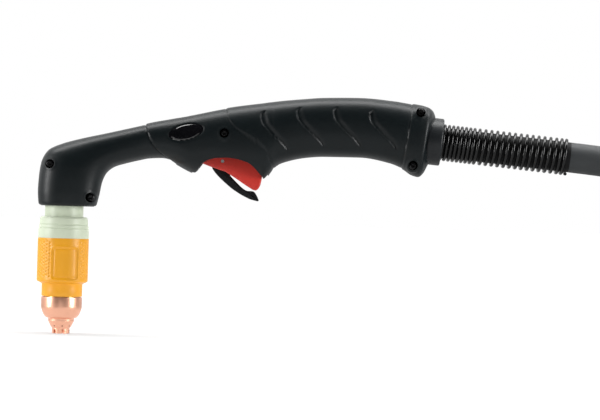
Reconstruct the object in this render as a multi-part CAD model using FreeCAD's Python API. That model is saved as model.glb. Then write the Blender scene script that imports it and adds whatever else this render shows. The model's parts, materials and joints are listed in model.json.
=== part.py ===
import FreeCAD, Part
import math
import os

"""Hand-held plasma cutting torch with its lead, in millimetres.

The origin is the middle of the drag shield's tip face, where the torch stands on the work.
+Z runs up the axis of the torch head, +X runs from the head to the rear of the handle,
and y = 0 is the plane in which the two handle shells meet.
"""

V = FreeCAD.Vector
X, Y, Z = V(1, 0, 0), V(0, 1, 0), V(0, 0, 1)

# ---- driving dimensions -------------------------------------------------------------------

WALL = 2.6                     # handle shell wall
SECTION_POWER = 2.5            # superellipse exponent of the handle's sections
SECTION_STEPS = 12             # points from the top edge of a section to its bottom edge

NECK_RADIUS = 11.9             # torch main body where it leaves the handle
HEAD_FLOOR = 79.0              # underside of the handle's head
HEAD_FLOOR_THICK = 3.0

SHIELD_RADIUS = 12.65
SHIELD_TOP = 22.6
SLEEVE_BOTTOM = 23.0
SLEEVE_RADIUS = 15.8
SLEEVE_TOP = 59.0
COLLAR_TOP = 72.3
SHIELD_SLOTS = 6
SHIELD_SLOT_START = 50.0
SHIELD_VENTS = 8

SCREW_HEAD_RADIUS = 2.6
SCREW_SHANK_RADIUS = 1.45
SCREW_DEPTH = 3.4              # recess below the shell's skin
SCREW_REACH = 8.0              # into the right-hand shell
BOSS_RADIUS = 3.6
SCREWS = [(-9.45, 105.2), (15.9, 84.6), (97.8, 126.7), (218.8, 143.2), (214.9, 110.9)]

TRIGGER_PIVOT = V(86.5, 0, 112.8)
LEVER_PIVOT = V(97.4, 0, 109.5)
TRIGGER_HALF = 7.0             # half the trigger's width
WELL_HALF = 7.4                # half the slot that the trigger works in
LEVER_HALF = 2.3
LEVER_SLOT_HALF = 3.5

LEAD_RADIUS = 9.35
TIE_THICK = 1.2                # strap under the coil, which lifts its turns by as much
REAR_CENTRE = V(230.0, 0, 125.5)
REAR_SLOPE = math.radians(-5.0)
REAR_AXIS = V(math.cos(REAR_SLOPE), 0, math.sin(REAR_SLOPE))
REAR_COLLAR_RADIUS = 14.75
SPRING_START = 0.7             # measured along REAR_AXIS from REAR_CENTRE
SPRING_END = 82.4
SPRING_WIRE_RADIUS = 0.95
SPRING_MEAN_RADIUS = 10.35
SPRING_TURNS = 24

COIL_CENTRE = V(449.0, 92.9, 0)
COIL_INNER = 64.7              # two columns of turns, 74.1 and 92.9 in radius
COIL_OUTER = 102.3
COIL_TOP = TIE_THICK + 12.0 * LEAD_RADIUS
TIE_ANGLES = [-75, 45, 165]
TIE_WIDTH = 20.0
TIE_GAP = 0.4
TIE_INNER_GAP = 1.2

# The lead's line, from the spring to the coil and from the coil to the connector.
RUN_ROUTE = [
    (312.1, 0, 118.32),
    (352, 0, 114.83),
    (400, 0, 105.6),
    (449, 0, 104.05),
]
TAIL_ROUTE = [
    (418, 18.1, 98),
    (480, 18.1, 101),
    (523.8, 61.9, 112),
    (525, 124.4, 127),
    (481.3, 170.9, 137.5),
    (421, 170.9, 137.5),
]
CONNECTOR_AXIS = V(-1, 0, 0)
CONNECTOR_RADIUS = 24.0

# Stations of the handle's skin: outer edge, inner edge, half width.
STATIONS = [
    ((-15.9, 79.0), (18.2, 79.0), 16.2),
    ((-16.6, 88.4), (21.0, 86.4), 16.9),
    ((-16.2, 97.0), (22.9, 94.2), 17.0),
    ((-15.0, 105.6), (25.2, 99.6), 16.7),
    ((-10.9, 113.2), (28.2, 102.7), 15.8),
    ((-2.5, 117.5), (31.6, 104.6), 14.6),
    ((10.0, 121.2), (37.0, 106.3), 13.3),
    ((25.0, 124.8), (44.5, 108.3), 12.4),
    ((42.0, 129.0), (52.5, 110.0), 12.0),
    ((58.5, 133.1), (63.0, 110.6), 12.6),
    ((77.0, 137.3), (78.0, 110.9), 14.0),
    ((98.0, 142.1), (98.5, 111.3), 15.6),
    ((118.0, 145.7), (117.5, 109.6), 16.5),
    ((136.0, 148.4), (136.0, 110.4), 16.8),
    ((159.0, 150.7), (159.5, 114.1), 16.6),
    ((182.0, 151.3), (182.0, 114.3), 16.6),
    ((203.0, 149.8), (200.5, 111.4), 17.1),
    ((217.0, 147.7), (212.5, 106.0), 17.5),
    ((224.5, 145.8), (219.3, 104.6), 17.2),
    ((228.2, 140.8), (223.7, 110.0), 14.6),
]


# ---- helpers ------------------------------------------------------------------------------

def save(shape, node):
    """Write one node, as one solid or as a compound of separate solids."""
    solids = shape.Solids
    kept = solids[0] if len(solids) == 1 else Part.makeCompound(solids)
    if not kept.isValid():
        print("NOT VALID:", node)
    kept.exportStep("parts/%s.step" % node)
    print("%-26s solids %2d  volume %10.1f" % (node, len(solids), kept.Volume))
    return kept


def turned(profile, base=V(0, 0, 0), axis=Z):
    """Solid of revolution of a closed outline of (radius, height) points."""
    points = [V(r, 0, h) for r, h in profile]
    face = Part.Face(Part.makePolygon(points + points[:1]))
    solid = face.revolve(V(0, 0, 0), Z, 360)
    solid.Placement = FreeCAD.Placement(base, FreeCAD.Rotation(Z, axis))
    return solid


def rod(radius, start, end):
    """Round bar between two points."""
    return Part.makeCylinder(radius, (end - start).Length, start, end - start)


def box(low, high):
    """Box between two corners."""
    size = V(*high) - V(*low)
    return Part.makeBox(size.x, size.y, size.z, V(*low))


def plate(outline, y_low, y_high):
    """Flat piece: an (x, z) outline given thickness along Y."""
    points = [V(x, y_low, z) for x, z in outline]
    face = Part.Face(Part.makePolygon(points + points[:1]))
    return face.extrude(V(0, y_high - y_low, 0))


def rounded_plate(outline, y_low, y_high, radius):
    """A flat piece whose two side faces have rounded rims."""
    piece = plate(outline, y_low, y_high)
    rims = []
    for edge in piece.Edges:
        ends = [v.Point.y for v in edge.Vertexes]
        if abs(ends[0] - ends[1]) < 0.001:
            rims.append(edge)
    return piece.makeFillet(radius, rims)


def bent_path(points):
    """Straight runs joined by tangent arcs, as large as the runs beside them allow."""
    points = [V(*p) for p in points]
    edges = []
    last = points[0]
    radii = []
    for before, corner, after in zip(points, points[1:], points[2:]):
        back = (before - corner).normalize()
        ahead = (after - corner).normalize()
        turn = math.pi - back.getAngle(ahead)
        reach = 0.45 * min(before.distanceToPoint(corner), after.distanceToPoint(corner))
        radii.append(reach / math.tan(turn / 2))
        start = corner + back * reach
        end = corner + ahead * reach
        middle_dir = (back + ahead).normalize()
        gap = radii[-1] / math.cos(turn / 2) - radii[-1]
        edges.append(Part.LineSegment(last, start).toShape())
        edges.append(Part.Arc(start, corner + middle_dir * gap, end).toShape())
        last = end
    edges.append(Part.LineSegment(last, points[-1]).toShape())
    return Part.Wire(edges), radii


def bent_rod(points, radius, name):
    """Round tube along a bent path, with its radii and volume checked."""
    path, radii = bent_path(points)
    first = V(*points[1]) - V(*points[0])
    ring = Part.Wire(Part.makeCircle(radius, V(*points[0]), first))
    pipe = path.makePipeShell([ring], True, False)
    expected = math.pi * radius ** 2 * path.Length
    print("%s: radii %s, length %.1f, volume ratio %.4f"
          % (name, [round(r) for r in radii], path.Length, pipe.Volume / expected))
    return pipe


def coil_spring(mean_radius, wire_radius, turns, start, end, left_handed=False):
    """Round wire wound on a helix between two points."""
    length = (end - start).Length
    helix = Part.makeLongHelix(length / turns, length, mean_radius, 0, left_handed)
    ring = Part.Wire(Part.makeCircle(wire_radius, V(mean_radius, 0, 0), Y))
    spring = Part.Wire(helix.Edges).makePipeShell([ring], True, True)
    spring.Placement = FreeCAD.Placement(start, FreeCAD.Rotation(Z, end - start))
    return spring


def rear(along):
    """Point on the axis of the strain relief."""
    return REAR_CENTRE + REAR_AXIS * along


# ---- the handle's form --------------------------------------------------------------------

def section(station, side, inset):
    """Points of half a superellipse across the handle, from its outer edge to its inner one."""
    (ox, oz), (ix, iz), half_width = station
    outer, inner = V(ox, 0, oz), V(ix, 0, iz)
    middle = (outer + inner) * 0.5
    radius = (outer - inner).Length / 2 - inset
    across = (outer - inner).normalize()
    points = []
    for step in range(SECTION_STEPS + 1):
        angle = math.pi * step / SECTION_STEPS
        c, s = math.cos(angle), max(math.sin(angle), 0.0)
        up = math.copysign(abs(c) ** (2 / SECTION_POWER), c)
        out = 0.0 if step in (0, SECTION_STEPS) else s ** (2 / SECTION_POWER)
        points.append(middle + across * (radius * up) + V(0, side * out * (half_width - inset), 0))
    return points


def half_form(stations, side, inset=0.0):
    """Closed solid of one half of the handle, on one side of y = 0."""
    surface = Part.BSplineSurface()
    surface.interpolate([section(s, side, inset) for s in stations])
    skin = surface.toShape()
    rims, ends = [], []
    for edge in skin.Edges:
        middle = edge.valueAt((edge.FirstParameter + edge.LastParameter) / 2)
        (rims if abs(middle.y) < 0.01 else ends).append(edge)
    faces = [skin]
    chords = []
    for edge in ends:
        chord = Part.makeLine(edge.Vertexes[0].Point, edge.Vertexes[-1].Point)
        chords.append(chord)
        faces.append(Part.Face(Part.Wire([edge, chord])))
    faces.append(Part.Face(Part.Wire(Part.__sortEdges__(rims + chords))))
    shell = Part.Shell(faces)
    shell.sewShape()
    solid = Part.Solid(shell)
    if solid.Volume < 0:
        solid.reverse()
    return solid


def cavity_stations():
    """The handle's stations with the first lifted off the head's floor and the last moved in."""
    stations = list(STATIONS)
    (ox, oz), (ix, iz), width = STATIONS[0]
    stations[0] = ((ox, oz + HEAD_FLOOR_THICK), (ix, iz + HEAD_FLOOR_THICK), width)
    (ox, oz), (ix, iz), width = STATIONS[-1]
    stations[-1] = ((ox - WALL, oz + 0.4), (ix - WALL, iz - 0.4), width)
    return stations


HORN = [(62, 113), (66.5, 109.2), (71, 106.6), (76, 103.3), (79, 102.0), (82, 104.6), (84.8, 107.8),
        (89, 110.2), (92, 114)]
HOOK = [(116, 113), (117.8, 105.3), (120.3, 102.5), (122.5, 100.1), (122.9, 98.3), (125.8, 98.8),
        (127.4, 102.5), (128.8, 106.3), (132, 110), (134, 114)]
GUARD_HALF = 11.0


def make_shell(side):
    """One handle shell. side is -1 for the left shell, with the screw heads, and 1 for the right."""
    outer = half_form(STATIONS, side)
    guard_low, guard_high = sorted((0, side * GUARD_HALF))
    outer = outer.fuse([plate(HORN, guard_low, guard_high), plate(HOOK, guard_low, guard_high)])
    cavity = half_form(cavity_stations(), side, WALL)
    supports = [rod(BOSS_RADIUS, V(x, 0, z), V(x, side * 20, z)) for x, z in SCREWS]
    rib_low, rib_high = sorted((0, side * 20))
    supports.append(box((115.5, rib_low, 125.0), (122.0, rib_high, 127.4)))
    cavity = cavity.cut(supports)
    cuts = [cavity, make_badge()]
    well_low, well_high = sorted((0, side * WELL_HALF))
    cuts.append(box((82.6, well_low, 96), (125.6, well_high, 118)))
    cuts.append(rod(NECK_RADIUS + 0.1, V(0, 0, 70), V(0, 0, HEAD_FLOOR + 5)))
    cuts.append(rod(12.6, rear(-12), rear(4)))
    cuts.append(rod(1.3, TRIGGER_PIVOT, TRIGGER_PIVOT + Y * side * 9.6))
    for x, z in SCREWS:
        if side < 0:
            depth = skin_depth(x, z)
            cuts.append(rod(SCREW_SHANK_RADIUS + 0.05, V(x, 0, z), V(x, -20, z)))
            cuts.append(rod(SCREW_HEAD_RADIUS + 0.15, V(x, SCREW_DEPTH - depth, z), V(x, -25, z)))
        else:
            cuts.append(rod(SCREW_SHANK_RADIUS + 0.05, V(x, 0, z), V(x, SCREW_REACH + 0.2, z)))
    shell = outer.cut(cuts[:6])
    for tool in cuts[6:]:
        shell = shell.cut(tool)
    return shell


def skin_depth(x, z):
    """Distance from y = 0 to the handle's skin at one place in its side view."""
    line = Part.makeLine(V(x, -2, z), V(x, -40, z))
    return max(-vertex.Point.y for vertex in line.section(LEFT_FORM).Vertexes)


LEFT_FORM = half_form(STATIONS, -1)


def make_screws():
    """The five screws that hold the shells together."""
    solids = []
    for x, z in SCREWS:
        seat = SCREW_DEPTH - skin_depth(x, z)
        shank = rod(SCREW_SHANK_RADIUS, V(x, seat, z), V(x, SCREW_REACH, z))
        head = rod(SCREW_HEAD_RADIUS, V(x, seat, z), V(x, seat - 1.8, z))
        socket = rod(1.3, V(x, seat - 0.8, z), V(x, seat - 3, z))
        solids.append(shank.fuse(head).cut(socket))
    return Part.makeCompound(solids)


BADGE_CENTRE = (74.5, 126.8)
BADGE_LENGTH, BADGE_HEIGHT, BADGE_TILT = 22.0, 10.0, 14.0


def make_badge():
    """Oval badge let into the left shell's side."""
    x, z = BADGE_CENTRE
    oval = Part.Ellipse(V(0, 0, 0), BADGE_LENGTH / 2, BADGE_HEIGHT / 2)
    face = Part.Face(Part.Wire(oval.toShape()))
    face.rotate(V(0, 0, 0), X, 90)
    face.rotate(V(0, 0, 0), Y, -BADGE_TILT)
    face.translate(V(x, -20, z))
    block = face.extrude(V(0, 15, 0))
    skin = LEFT_FORM
    return skin.common(block).cut(box((40, -12.9, 100), (110, 0, 150)))


# ---- torch head and consumables ------------------------------------------------------------

ELECTRODE_RADIUS = 4.7
BLOCK_BORE = 5.0
BLOCK_RADIUS = 7.0
BODY_BOTTOM = 44.2
BODY_TOP = 94.0
SENSOR_X = -9.5
ARM_SLOPE = math.radians(33)
ARM_START = V(0, 0, 97.5)
ARM_END = ARM_START + V(math.cos(ARM_SLOPE), 0, math.sin(ARM_SLOPE)) * 27


def make_main_body():
    body = turned([(BLOCK_RADIUS + 0.05, BODY_BOTTOM), (NECK_RADIUS, BODY_BOTTOM), (NECK_RADIUS, 59.0),
                   (NECK_RADIUS - 0.8, 59.0), (NECK_RADIUS - 0.8, 61.0), (NECK_RADIUS, 61.0),
                   (NECK_RADIUS, 88.5), (13.3, 88.5), (13.3, 91.5), (NECK_RADIUS, 91.5),
                   (NECK_RADIUS, BODY_TOP), (5.05, BODY_TOP), (5.05, 70.0), (BLOCK_RADIUS + 0.05, 70.0)])
    return body.cut(rod(1.05, V(SENSOR_X, 0, 40), V(SENSOR_X, 0, 100)))


def make_cathode_block():
    block = turned([(BLOCK_BORE, BODY_BOTTOM + 0.1), (BLOCK_RADIUS, BODY_BOTTOM + 0.1), (BLOCK_RADIUS, 69.9),
                    (BLOCK_BORE - 0.05, 69.9), (BLOCK_BORE - 0.05, 97.5), (0, 97.5), (0, 63.0),
                    (BLOCK_BORE, 63.0)])
    elbow = Part.makeSphere(BLOCK_BORE - 0.05, ARM_START)
    arm = rod(BLOCK_BORE - 0.05, ARM_START, ARM_END)
    return block.fuse([elbow, arm]).cut(rod(1.5, V(0, 0, 60), V(0, 0, 90)))


def make_shield():
    profile = [(2.7, 0), (5.45, 0), (5.45, 3.3), (5.75, 3.6), (6.8, 5.1), (7.4, 6.4), (8.05, 7.6), (8.05, 9.3),
               (9.9, 10.1), (11.2, 11.8), (11.95, 13.8), (12.45, 15.2), (SHIELD_RADIUS, 16.3),
               (SHIELD_RADIUS, SHIELD_TOP), (11.05, SHIELD_TOP), (11.05, 14.0), (9.6, 12.0), (6.6, 9.0),
               (4.2, 4.4), (2.7, 3.4)]
    shield = turned(profile)
    slot = box((0, -0.9, -1), (7, 0.9, 2.6))
    vent = rod(0.45, V(3, 0, 6.4), V(9, 0, 3.7))
    cuts = []
    for k in range(SHIELD_SLOTS):
        cuts.append(slot.rotated(V(0, 0, 0), Z, SHIELD_SLOT_START + 360 * k / SHIELD_SLOTS))
    for k in range(SHIELD_VENTS):
        cuts.append(vent.rotated(V(0, 0, 0), Z, 360 * (k + 0.25) / SHIELD_VENTS))
    return shield.cut(cuts)


def make_nozzle():
    return turned([(0.7, 3.9), (2.1, 3.9), (2.6, 5.0), (6.0, 10.2), (8.0, 13.2), (8.9, 15.5), (8.9, 36.1),
                   (11.5, 36.1), (11.5, 38.0), (7.6, 38.0), (7.6, 15.0), (5.2, 11.0), (3.2, 8.6), (0.7, 8.0)])


def make_swirl_ring():
    ring = turned([(5.4, 19.0), (7.3, 19.0), (7.3, 38.1), (11.4, 38.1), (11.4, 43.9), (5.4, 43.9)])
    jet = rod(0.6, V(4.5, 3.0, 24.0), V(4.5, 9.0, 24.0))
    cuts = [jet.rotated(V(0, 0, 0), Z, 60 * k) for k in range(6)]
    return ring.cut(cuts)


def make_electrode():
    return turned([(0.85, 9.0), (2.4, 9.0), (3.0, 9.6), (3.0, 13.0), (ELECTRODE_RADIUS, 17.0),
                   (ELECTRODE_RADIUS, 30.0), (3.9, 31.0), (3.9, 36.0), (ELECTRODE_RADIUS, 37.0),
                   (ELECTRODE_RADIUS, 47.0), (0, 47.0), (0, 11.2), (0.85, 11.2)])


def make_plunger():
    return turned([(0, 47.0), (3.2, 47.0), (4.9, 48.4), (4.9, 53.0), (2.6, 53.0), (2.6, 56.0), (0, 56.0)])


def make_cap_insert():
    return turned([(9.25, 15.0), (11.0, 15.0), (11.0, 33.0), (14.0, 33.0), (14.0, 57.0), (12.0, 57.0),
                   (12.0, 36.0), (9.25, 36.0)])


def make_cap_sleeve():
    return turned([(11.0, SLEEVE_BOTTOM), (12.2, SLEEVE_BOTTOM), (12.6, SLEEVE_BOTTOM + 0.4), (12.6, 30.8),
                   (SLEEVE_RADIUS, 32.5), (SLEEVE_RADIUS, SLEEVE_TOP), (14.0, SLEEVE_TOP), (14.0, 33.0),
                   (11.0, 33.0)])


def make_cap_collar():
    return turned([(13.1, SLEEVE_TOP), (15.75, SLEEVE_TOP), (15.6, 64.9), (15.3, 65.2), (15.5, 65.5),
                   (15.3, 67.2), (15.0, 67.4), (15.1, 67.6), (14.8, 71.4), (14.0, COLLAR_TOP),
                   (12.3, COLLAR_TOP), (12.3, 66.0), (13.1, 66.0)])


# ---- trigger and safety lever --------------------------------------------------------------

TRIGGER_OUTLINE = [(83.3, 113.4), (83.4, 110.2), (84.8, 107.8), (89.5, 106.1), (95.8, 104.1), (99.0, 103.3),
                   (105.2, 99.5), (111.6, 95.3), (116.6, 92.3), (118.4, 92.0), (119.6, 92.9), (120.9, 95.0),
                   (122.0, 100.0), (122.0, 106.0), (121.0, 110.5), (118.0, 113.3), (104.0, 114.4),
                   (90.0, 115.8), (86.4, 116.3), (84.2, 115.4)]
LEVER_OUTLINE = [(90.5, 105.5), (93.4, 101.6), (97.8, 97.4), (103.6, 92.6), (109.3, 89.1), (114.9, 86.4),
                 (119.9, 85.3), (120.4, 86.0), (119.2, 88.7), (117.3, 91.6), (112.6, 91.6), (109.8, 93.4),
                 (105.3, 97.6), (101.6, 101.4), (101.0, 106.0), (100.5, 111.5), (97.4, 113.5), (93.4, 112.0),
                 (91.6, 108.8)]
LEVER_SWEEP = 9.4              # radius that the lever's boss needs inside the trigger


def make_trigger():
    """Red trigger: two cheeks with a slot between them that the safety lever swings in."""
    body = rounded_plate(TRIGGER_OUTLINE, -TRIGGER_HALF, TRIGGER_HALF, 0.6)
    slot = rod(LEVER_SWEEP, LEVER_PIVOT - Y * LEVER_SLOT_HALF, LEVER_PIVOT + Y * LEVER_SLOT_HALF)
    mouth = plate([(80, 96), (120, 80), (111.5, 95.5), (106.6, 107.0), (95, 109.0), (86.2, 109.4), (80, 109.4)],
                  -LEVER_SLOT_HALF, LEVER_SLOT_HALF)
    pivot_hole = rod(1.25, TRIGGER_PIVOT - Y * 20, TRIGGER_PIVOT + Y * 20)
    pin_hole = rod(1.05, LEVER_PIVOT - Y * 20, LEVER_PIVOT + Y * 20)
    return body.cut([slot, mouth, pivot_hole, pin_hole])


def make_lever():
    """Black safety lever, hinged in the trigger's slot."""
    body = rounded_plate(LEVER_OUTLINE, -LEVER_HALF, LEVER_HALF, 0.5)
    return body.cut(rod(1.08, LEVER_PIVOT - Y * 9, LEVER_PIVOT + Y * 9))


# ---- rear end, lead, coil and connector -----------------------------------------------------

def make_rear_collar():
    return turned([(9.5, -8.0), (12.4, -8.0), (12.4, -2.2), (13.2, -1.4),
                   (14.3, -1.2), (REAR_COLLAR_RADIUS, -0.7), (REAR_COLLAR_RADIUS, 2.2), (14.3, 2.7),
                   (11.5, 2.7), (11.5, 0.6), (9.5, 0.6)], REAR_CENTRE, REAR_AXIS)


def make_coil():
    """Outer shape of the lead's coil: an upright ring."""
    return turned([(COIL_INNER, TIE_THICK), (COIL_OUTER, TIE_THICK), (COIL_OUTER, COIL_TOP),
                   (COIL_INNER, COIL_TOP)], COIL_CENTRE)


def make_ties():
    """Straps round the coil."""
    solids = []
    for angle in TIE_ANGLES:
        low, high = COIL_INNER - TIE_INNER_GAP, COIL_OUTER + TIE_GAP
        outer = box((low - TIE_THICK, -TIE_WIDTH / 2, 0), (high + TIE_THICK, TIE_WIDTH / 2, COIL_TOP + TIE_THICK))
        inner = box((low, -TIE_WIDTH, TIE_THICK), (high, TIE_WIDTH, COIL_TOP))
        strap = outer.cut(inner)
        strap.rotate(V(0, 0, 0), Z, angle)
        strap.translate(COIL_CENTRE)
        solids.append(strap)
    return Part.makeCompound(solids)


TAIL_END = V(*TAIL_ROUTE[-1])
PINS = 9


def make_connector(section_name):
    """The pieces of the power-supply connector, on the lead's far end."""
    if section_name == "boot":
        return turned([(LEAD_RADIUS + 0.05, -34), (10.8, -34), (12.5, -20), (15.5, -6), (19.0, 0), (19.0, 6),
                       (0, 6), (0, 0.05), (LEAD_RADIUS + 0.05, 0.05)], TAIL_END, CONNECTOR_AXIS)
    if section_name == "shell":
        return turned([(0, 6), (21.0, 6), (22.5, 8), (22.5, 44), (19.5, 46), (19.5, 62), (16.5, 62),
                       (16.5, 50), (0, 50)], TAIL_END, CONNECTOR_AXIS)
    if section_name == "nut":
        nut = turned([(19.7, 46.4), (CONNECTOR_RADIUS - 1, 46.4), (CONNECTOR_RADIUS, 47.6),
                      (CONNECTOR_RADIUS, 60.0), (CONNECTOR_RADIUS - 1, 61.2), (19.7, 61.2)],
                     TAIL_END, CONNECTOR_AXIS)
        return nut
    solids = [rod(3.2, TAIL_END + CONNECTOR_AXIS * 50, TAIL_END + CONNECTOR_AXIS * 61)]
    for k in range(PINS):
        angle = 2 * math.pi * k / PINS
        foot = TAIL_END + V(-50, 11.0 * math.cos(angle), 11.0 * math.sin(angle))
        solids.append(rod(1.1, foot, foot + CONNECTOR_AXIS * 9))
    return Part.makeCompound(solids)


GAS_TUBE_ROUTE = [(ARM_END.x, 0, ARM_END.z), (44, 0, 121.5), (72, 0, 129.5), (98, 0, 134.6), (135, 0, 138.2),
                  (172, 0, 136.5), (205, 0, 127.69)]
PILOT_ROUTE = [(6, 6.5, 101), (24, 6.5, 113.5), (46, 6.0, 119.5), (72, 8.0, 127), (100, 9.5, 133),
               (140, 9.0, 131), (175, 7.5, 130), (204.2, 5.0, 128.0)]
CONTROL_ROUTE = [(124, -4.0, 122.5), (140, -6.5, 122), (165, -7.5, 122), (188, -6.5, 123.5), (204.2, -5.0, 125.5)]


def make_start_switch():
    """Microswitch above the trigger, with the bore that its button slides in."""
    case = box((102.5, -3.6, 118.6), (114.6, 3.6, 125.4))
    return case.cut(rod(1.3, V(104.5, 0, 118), V(104.5, 0, 123)))


def make_lead_clamp():
    """Ring that grips the lead's jacket inside the rear of the handle."""
    return turned([(LEAD_RADIUS + 0.05, -22), (12.0, -22), (12.0, -14), (LEAD_RADIUS + 0.05, -14)],
                  REAR_CENTRE, REAR_AXIS)


def make_safety_spring():
    """Small torsion spring beside the lever's boss."""
    return coil_spring(2.0, 0.2, 1.5, LEVER_PIVOT + Y * 2.55, LEVER_PIVOT + Y * 3.25)


def make_spring():
    """Close-wound wire strain relief."""
    return coil_spring(SPRING_MEAN_RADIUS, SPRING_WIRE_RADIUS, SPRING_TURNS, rear(SPRING_START + 1.0),
                       rear(SPRING_END - 1.0), True)


def main():
    os.makedirs("parts", exist_ok=True)
    save(make_shell(-1), "handle_shell_left")
    save(make_shell(1), "handle_shell_right")
    save(make_screws(), "handle_screws")
    save(make_badge(), "handle_badge")

    save(make_main_body(), "torch_main_body")
    save(Part.makeTorus(12.1, 0.9, V(0, 0, 60.0)), "body_o_ring")
    save(make_cathode_block(), "cathode_block")
    save(make_shield(), "drag_shield")
    save(make_nozzle(), "nozzle")
    save(make_swirl_ring(), "swirl_ring")
    save(make_electrode(), "electrode")
    save(rod(0.84, V(0, 0, 9.0), V(0, 0, 11.2)), "emitter")
    save(make_plunger(), "plunger")
    save(coil_spring(3.9, 0.5, 4, V(0, 0, 53.5), V(0, 0, 62.5)), "plunger_spring")
    save(make_cap_insert(), "retaining_cap_insert")
    save(make_cap_sleeve(), "retaining_cap_sleeve")
    save(make_cap_collar(), "retaining_cap_collar")
    save(rod(1.0, V(SENSOR_X, 0, BODY_BOTTOM - 0.2), V(SENSOR_X, 0, 93.9)), "cap_sensor_pin")
    save(box((-12.6, -3, 94.1), (-6.2, 3, 100.2)), "cap_sensor_switch")

    save(make_trigger(), "trigger")
    save(rod(1.2, TRIGGER_PIVOT - Y * 9.5, TRIGGER_PIVOT + Y * 9.5), "trigger_pin")
    save(coil_spring(1.9, 0.3, 6, V(118.6, 0, 114.2), V(118.6, 0, 124.6)), "trigger_spring")
    save(make_start_switch(), "start_switch")
    save(rod(1.2, V(104.5, 0, 114.8), V(104.5, 0, 120.4)), "start_switch_button")
    save(make_lever(), "safety_lever")
    save(rod(1.0, LEVER_PIVOT - Y * 7.1, LEVER_PIVOT + Y * 7.1), "safety_pin")
    save(make_safety_spring(), "safety_spring")

    save(bent_rod(GAS_TUBE_ROUTE, 3.4, "gas_tube"), "gas_tube")
    save(bent_rod(PILOT_ROUTE, 1.0, "pilot_wire"), "pilot_wire")
    save(bent_rod(CONTROL_ROUTE, 1.2, "control_wires"), "control_wires")
    save(make_lead_clamp(), "lead_clamp")
    save(make_rear_collar(), "strain_relief_collar")
    save(make_spring(), "strain_relief_spring")
    save(rod(LEAD_RADIUS - 0.05, rear(-25.0), rear(SPRING_END)), "lead_jacket")

    save(bent_rod(RUN_ROUTE, LEAD_RADIUS, "lead_run"), "lead_run")
    save(make_coil(), "lead_coil")
    save(bent_rod(TAIL_ROUTE, LEAD_RADIUS, "lead_tail"), "lead_tail")
    save(make_ties(), "coil_tie")
    save(make_connector("boot"), "connector_boot")
    save(make_connector("shell"), "connector_shell")
    save(make_connector("nut"), "connector_nut")
    save(make_connector("pins"), "connector_pins")


main()
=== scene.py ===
"""Looks of the hand-held plasma cutting torch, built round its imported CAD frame.

Sizes are in millimetres until a mesh is made; MM turns them into the frame's metres.
The frame's origin is the middle of the drag shield's tip, +Z is up along the torch head,
and +X runs to the rear of the handle and on to the lead.
"""

import json
import math

import bmesh
import bpy
import numpy as np
from mathutils import Matrix, Vector
from mathutils.bvhtree import BVHTree


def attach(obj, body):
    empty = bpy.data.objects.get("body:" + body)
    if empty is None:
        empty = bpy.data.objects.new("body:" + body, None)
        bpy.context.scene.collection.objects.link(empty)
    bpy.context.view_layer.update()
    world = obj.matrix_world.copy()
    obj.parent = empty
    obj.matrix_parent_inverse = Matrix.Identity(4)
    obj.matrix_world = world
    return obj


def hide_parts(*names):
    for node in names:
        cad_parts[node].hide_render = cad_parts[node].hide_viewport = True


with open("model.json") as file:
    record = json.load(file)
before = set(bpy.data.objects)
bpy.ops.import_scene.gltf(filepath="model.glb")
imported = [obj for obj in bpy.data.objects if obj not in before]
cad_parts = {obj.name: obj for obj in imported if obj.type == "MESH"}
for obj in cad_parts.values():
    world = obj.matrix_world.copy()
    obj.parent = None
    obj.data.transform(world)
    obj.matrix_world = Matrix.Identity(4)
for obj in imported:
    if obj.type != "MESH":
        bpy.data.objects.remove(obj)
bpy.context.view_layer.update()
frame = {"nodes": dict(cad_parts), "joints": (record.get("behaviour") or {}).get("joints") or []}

MM = 0.001
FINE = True
ACROSS = np.array([0, 1, 0])      # from the torch's left to its right


# ---- geometry taken from the frame ----------------------------------------------------------

def joint_point(name):
    """A hinge's point, in millimetres."""
    found = [j for j in frame["joints"] if j["name"] == name]
    return np.array(found[0]["pos_m"]) / MM


REAR_SLOPE = math.radians(-5.0)
REAR_AXIS = np.array([math.cos(REAR_SLOPE), 0.0, math.sin(REAR_SLOPE)])
REAR_CENTRE = np.array([230.0, 0.0, 125.5])
LEAD_RADIUS = 9.35


def rear(along):
    """Point on the strain relief's axis, measured from the rear collar."""
    return REAR_CENTRE + REAR_AXIS * along


# ---- mesh helpers -----------------------------------------------------------------------------

def add_object(name, vertices, faces, body, replaces=(), slot=None, material=None, sharp=35.0):
    """Makes a mesh object from points in millimetres and ties it to its body."""
    mesh = bpy.data.meshes.new(name)
    mesh.from_pydata((np.asarray(vertices, float) * MM).tolist(), [], faces)
    mesh.update()
    piece = bpy.data.objects.new(name, mesh)
    bpy.context.scene.collection.objects.link(piece)
    finish_mesh(piece, sharp)
    tie(piece, body, replaces, material)
    return piece


def finish_mesh(piece, sharp=35.0):
    """Merges doubled points, turns faces outward and sets smooth shading with crisp edges."""
    work = bmesh.new()
    work.from_mesh(piece.data)
    bmesh.ops.remove_doubles(work, verts=work.verts, dist=2e-6)
    bmesh.ops.dissolve_degenerate(work, edges=work.edges, dist=1e-7)
    bmesh.ops.recalc_face_normals(work, faces=work.faces)
    work.to_mesh(piece.data)
    work.free()
    piece.data.shade_smooth()
    piece.data.set_sharp_from_angle(angle=math.radians(sharp))


def tie(piece, body, replaces=(), material=None):
    """Says which body a piece rides, which nodes it replaces, and what it is made of."""
    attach(piece, body)
    if replaces:
        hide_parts(*replaces)
    if material:
        piece.data.materials.clear()
        piece.data.materials.append(material)


def tube_faces(rows, columns):
    """Faces of a closed tube: a grid of points wrapped round, with a lid on each end."""
    last = (rows - 1) * columns
    return quads(rows, columns, False, True) + [tuple(range(columns)), tuple(range(last, last + columns))]


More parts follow.
